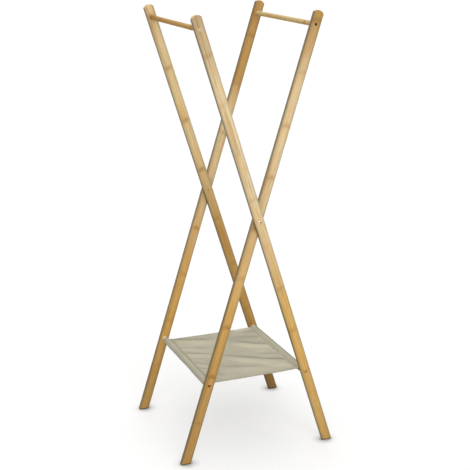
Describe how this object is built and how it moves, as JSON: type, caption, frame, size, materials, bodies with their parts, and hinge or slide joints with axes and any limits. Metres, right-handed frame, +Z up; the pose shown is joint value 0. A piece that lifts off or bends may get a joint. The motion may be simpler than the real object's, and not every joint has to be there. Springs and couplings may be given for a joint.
{
  "type": "clothes rack",
  "caption": "Folding bamboo clothes rack with crossed leg frames, round hanging rails at the top and a stretched fabric shelf on its lower bars.",
  "frame": {"origin": "on the floor, under the middle of the rack", "axes": "+Z up; +X the way the legs spread, towards the foot of frame a; +Y along the hanging rails, away from the picture's camera"},
  "size_m": [0.579, 0.522, 1.5508],
  "materials": {
    "leg_bamboo": "clear satin lacquer on golden laminated bamboo",
    "rod_bamboo": "clear satin lacquer on turned bamboo",
    "steel_fasteners": "bright zinc plate",
    "foot_pads": "matt",
    "shelf_canvas": "beige-grey plain-weave canvas"
  },
  "bodies": {
    "frame_a": {"front_leg_a": "leg_bamboo", "rear_leg_a": "leg_bamboo", "hanging_rail_a": "rod_bamboo", "lower_bar_a": "rod_bamboo", "rail_screws_a": "steel_fasteners", "bar_screws_a": "steel_fasteners", "front_pad_a": "foot_pads", "rear_pad_a": "foot_pads", "pivot_bolt_a": "steel_fasteners", "barrel_nut_a": "steel_fasteners", "pivot_washer_a": "steel_fasteners", "sleeve_a": "shelf_canvas", "shelf_cloth": "shelf_canvas"},
    "frame_b": {"front_leg_b": "leg_bamboo", "rear_leg_b": "leg_bamboo", "hanging_rail_b": "rod_bamboo", "lower_bar_b": "rod_bamboo", "rail_screws_b": "steel_fasteners", "bar_screws_b": "steel_fasteners", "front_pad_b": "foot_pads", "rear_pad_b": "foot_pads", "pivot_bolt_b": "steel_fasteners", "barrel_nut_b": "steel_fasteners", "pivot_washer_b": "steel_fasteners", "sleeve_b": "shelf_canvas"}
  },
  "joints": [
    {"name": "fold", "type": "hinge", "parent": "frame_a", "child": "frame_b", "pos_m": [0, 0, 0.85787], "axis": [0, -1, 0], "range_deg": [0, 30], "deforming": ["shelf_cloth"]}
  ]
}
